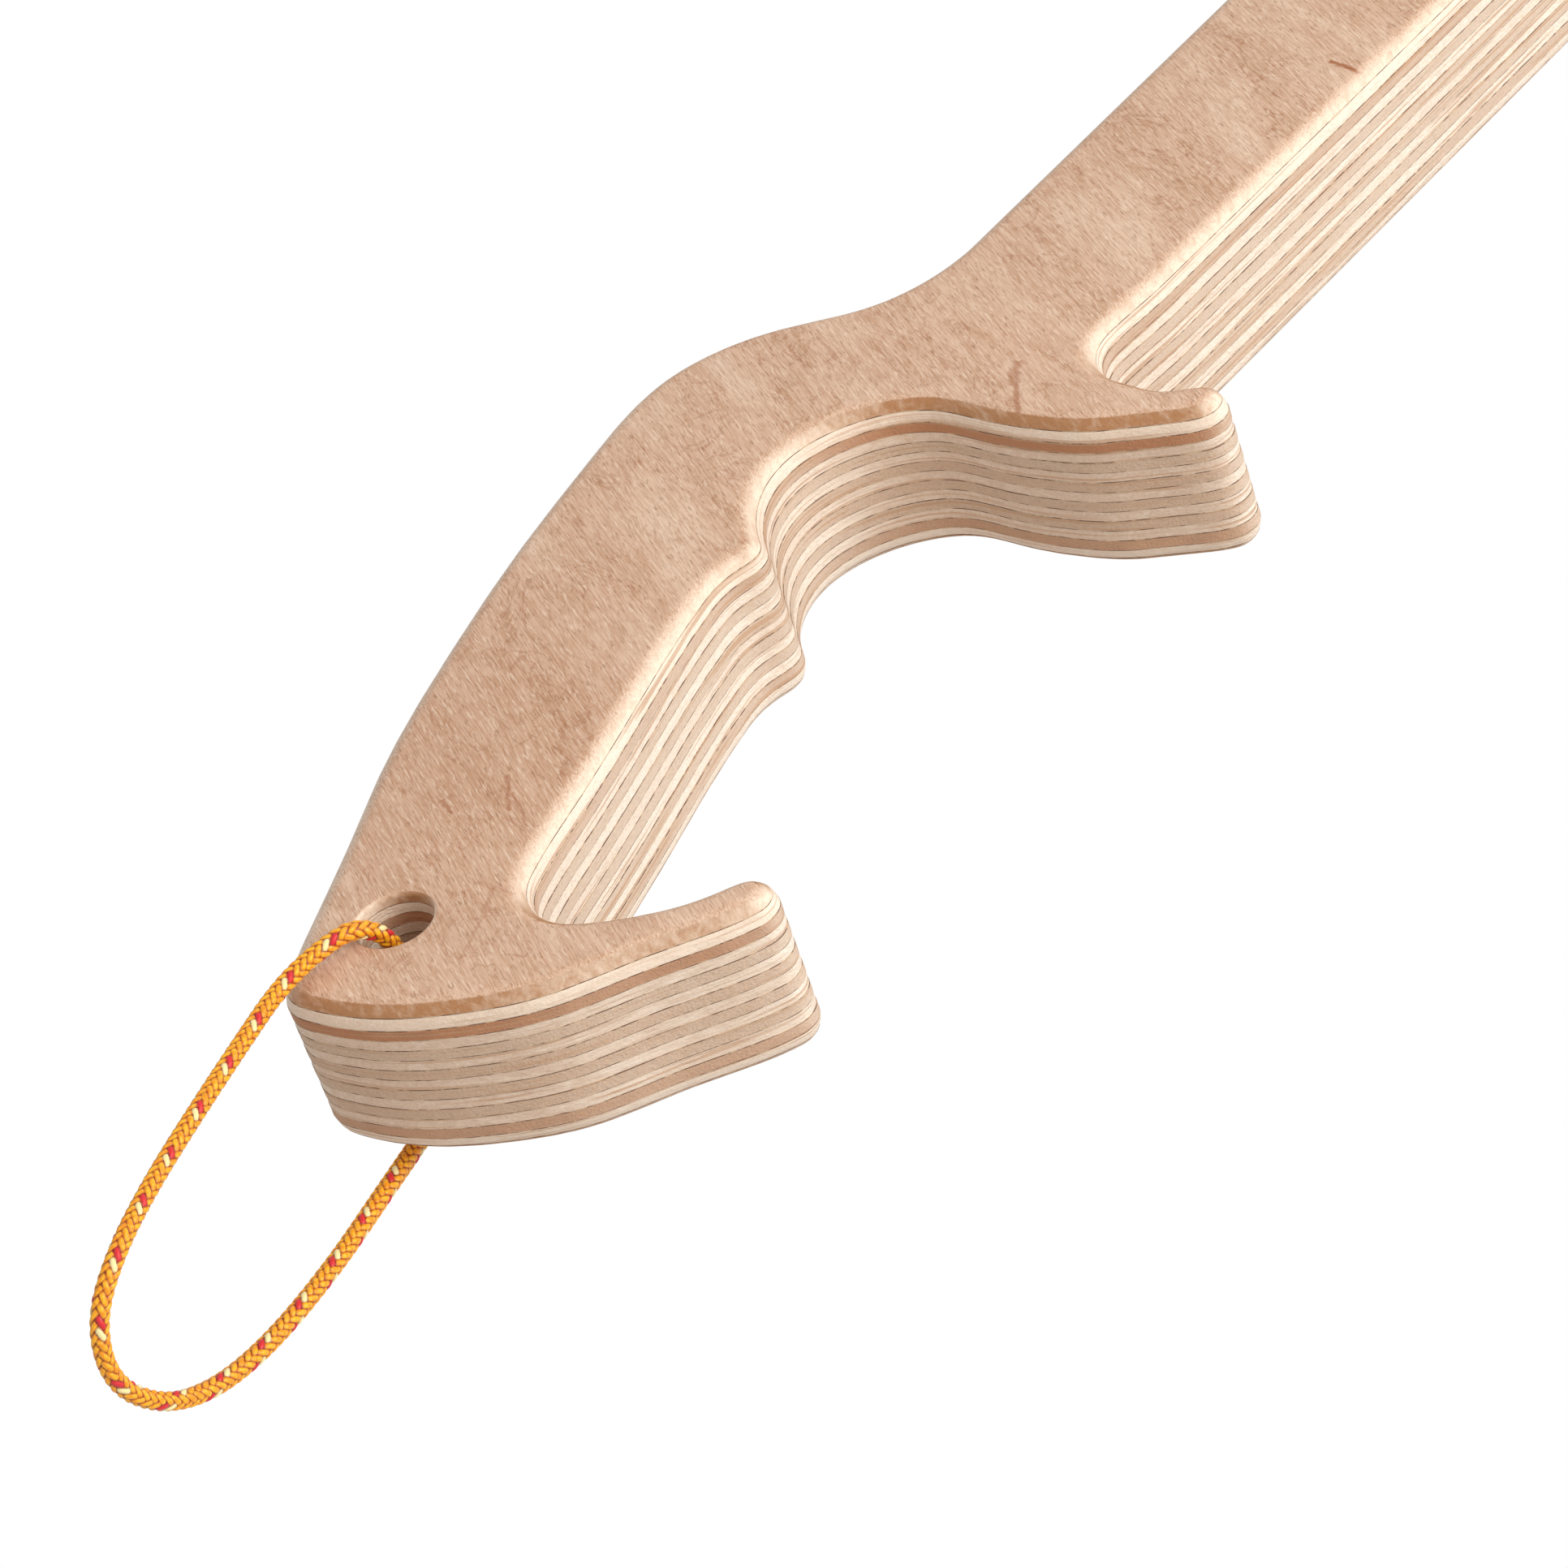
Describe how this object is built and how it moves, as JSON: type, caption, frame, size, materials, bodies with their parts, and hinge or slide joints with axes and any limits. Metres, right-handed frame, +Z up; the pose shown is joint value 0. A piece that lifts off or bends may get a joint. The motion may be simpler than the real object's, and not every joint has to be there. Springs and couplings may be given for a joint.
{
  "type": "wooden dry tooling axe",
  "caption": "Plywood training ice axe cut from one board, with a hooked grip, a finger nub, a long shaft, a drooping beak and a cord loop.",
  "frame": {"origin": "middle of the lower hand's span, in the middle of the grip's width and of the board's thickness", "axes": "+Z up the grip, towards the head; +X towards the fingers and the beak; Y through the board's thickness"},
  "size_m": [0.2404, 0.0284, 0.5003],
  "materials": {
    "face_veneer": "fine sanded birch veneer, unvarnished",
    "long_ply": "routed plywood edge, grain along the grip",
    "cross_ply": "routed plywood edge, grain across the grip",
    "glue": "dark hardened phenolic glue line",
    "cord": "braided polyester accessory cord with flecks"
  },
  "bodies": {
    "root": {"ply_01": "face_veneer", "ply_02": "cross_ply", "ply_03": "long_ply", "ply_04": "cross_ply", "ply_05": "long_ply", "ply_06": "cross_ply", "ply_07": "long_ply", "ply_08": "cross_ply", "ply_09": "long_ply", "ply_10": "cross_ply", "ply_11": "long_ply", "ply_12": "cross_ply", "ply_13": "long_ply", "ply_14": "cross_ply", "ply_15": "face_veneer", "glue_films": "glue", "lanyard_cord": "cord", "lanyard_knot": "cord"}
  },
  "joints": []
}
